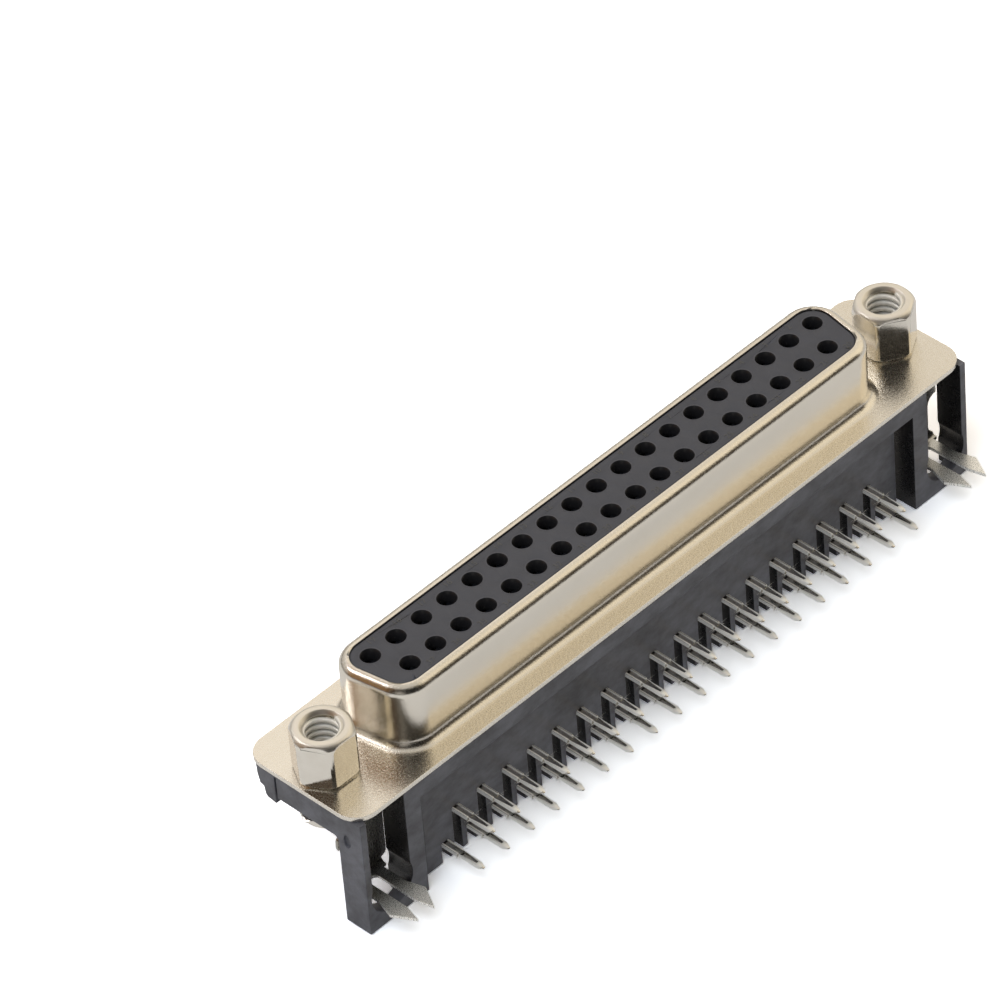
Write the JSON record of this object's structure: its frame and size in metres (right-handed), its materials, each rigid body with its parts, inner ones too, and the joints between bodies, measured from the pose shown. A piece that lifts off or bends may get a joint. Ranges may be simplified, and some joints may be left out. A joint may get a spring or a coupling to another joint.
{
  "type": "right-angle d-sub socket",
  "caption": "Right-angle board connector: a D-shaped metal socket face with two rows of contact holes, threaded standoffs, board locks and a comb that guides the bent solder tails",
  "frame": {"origin": "On the board's surface, midway between the two board lock holes and midway between the two rows of solder tails", "axes": "+X along the connector's length, -Y the way the plug leaves the socket, +Z away from the board; the bracket's feet stand on Z = 0"},
  "size_m": [0.0694, 0.0178, 0.0159],
  "materials": {
    "shell_nickel": "nickel-plated steel sheet, satin, slightly warm",
    "insulator_plastic": "matt black glass-filled plastic",
    "bracket_plastic": "black plastic with a soft sheen",
    "contact_plate": "copper alloy strip with bright tin plating",
    "standoff_nickel": "turned steel, bright nickel plating",
    "nut_nickel": "steel, bright nickel plating",
    "lock_plate": "spring steel strip with bright tin plating"
  },
  "bodies": {
    "root": {"front_shell": "shell_nickel", "front_insulator": "insulator_plastic", "rear_insulator": "insulator_plastic", "bracket": "bracket_plastic", "board_lock_left": "lock_plate", "board_lock_right": "lock_plate", "standoff_left": "standoff_nickel", "standoff_right": "standoff_nickel", "nut_left": "nut_nickel", "nut_right": "nut_nickel", "contact_01": "contact_plate", "contact_02": "contact_plate", "contact_03": "contact_plate", "contact_04": "contact_plate", "contact_05": "contact_plate", "contact_06": "contact_plate", "contact_07": "contact_plate", "contact_08": "contact_plate", "contact_09": "contact_plate", "contact_10": "contact_plate", "contact_11": "contact_plate", "contact_12": "contact_plate", "contact_13": "contact_plate", "contact_14": "contact_plate", "contact_15": "contact_plate", "contact_16": "contact_plate", "contact_17": "contact_plate", "contact_18": "contact_plate", "contact_19": "contact_plate", "contact_20": "contact_plate", "contact_21": "contact_plate", "contact_22": "contact_plate", "contact_23": "contact_plate", "contact_24": "contact_plate", "contact_25": "contact_plate", "contact_26": "contact_plate", "contact_27": "contact_plate", "contact_28": "contact_plate", "contact_29": "contact_plate", "contact_30": "contact_plate", "contact_31": "contact_plate", "contact_32": "contact_plate", "contact_33": "contact_plate", "contact_34": "contact_plate", "contact_35": "contact_plate", "contact_36": "contact_plate", "contact_37": "contact_plate"}
  },
  "joints": []
}
